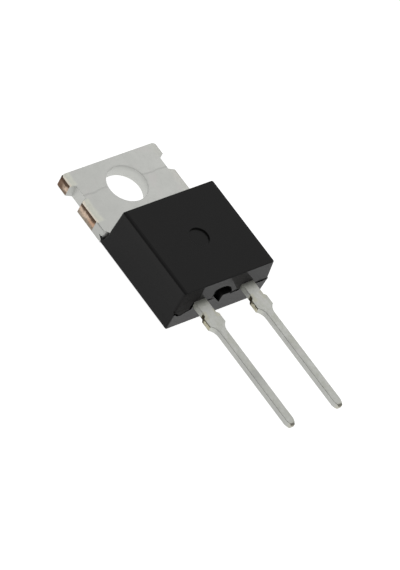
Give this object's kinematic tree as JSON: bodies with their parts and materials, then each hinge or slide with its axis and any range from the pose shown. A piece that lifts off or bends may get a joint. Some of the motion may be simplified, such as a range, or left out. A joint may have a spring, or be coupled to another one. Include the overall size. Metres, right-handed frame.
{
  "type": "fast recovery diode",
  "caption": "Power diode with a flat moulded body, a screw-down metal tab with a round hole, and flat leads that leave one end side by side.",
  "frame": {"origin": "centre of the mounting hole on the seating face of the tab", "axes": "+Z out of the front face along the mounting hole's axis, -Y along the leads, +X across the body, with the cathode lead at -X"},
  "size_m": [0.01, 0.0286, 0.0044],
  "materials": {
    "mould_compound": "fine matt moulding compound",
    "tinned_copper": "matt tin plating, bare copper on the sheared faces",
    "silicon": "polished chip",
    "solder": "dull solder",
    "bond_wire": "drawn aluminium wire"
  },
  "bodies": {
    "root": {"mould_body": "mould_compound", "heat_sink_tab": "tinned_copper", "anode_lead": "tinned_copper", "diode_chip": "silicon", "die_attach_solder": "solder", "bond_wire_1": "bond_wire", "bond_wire_2": "bond_wire"}
  },
  "joints": []
}
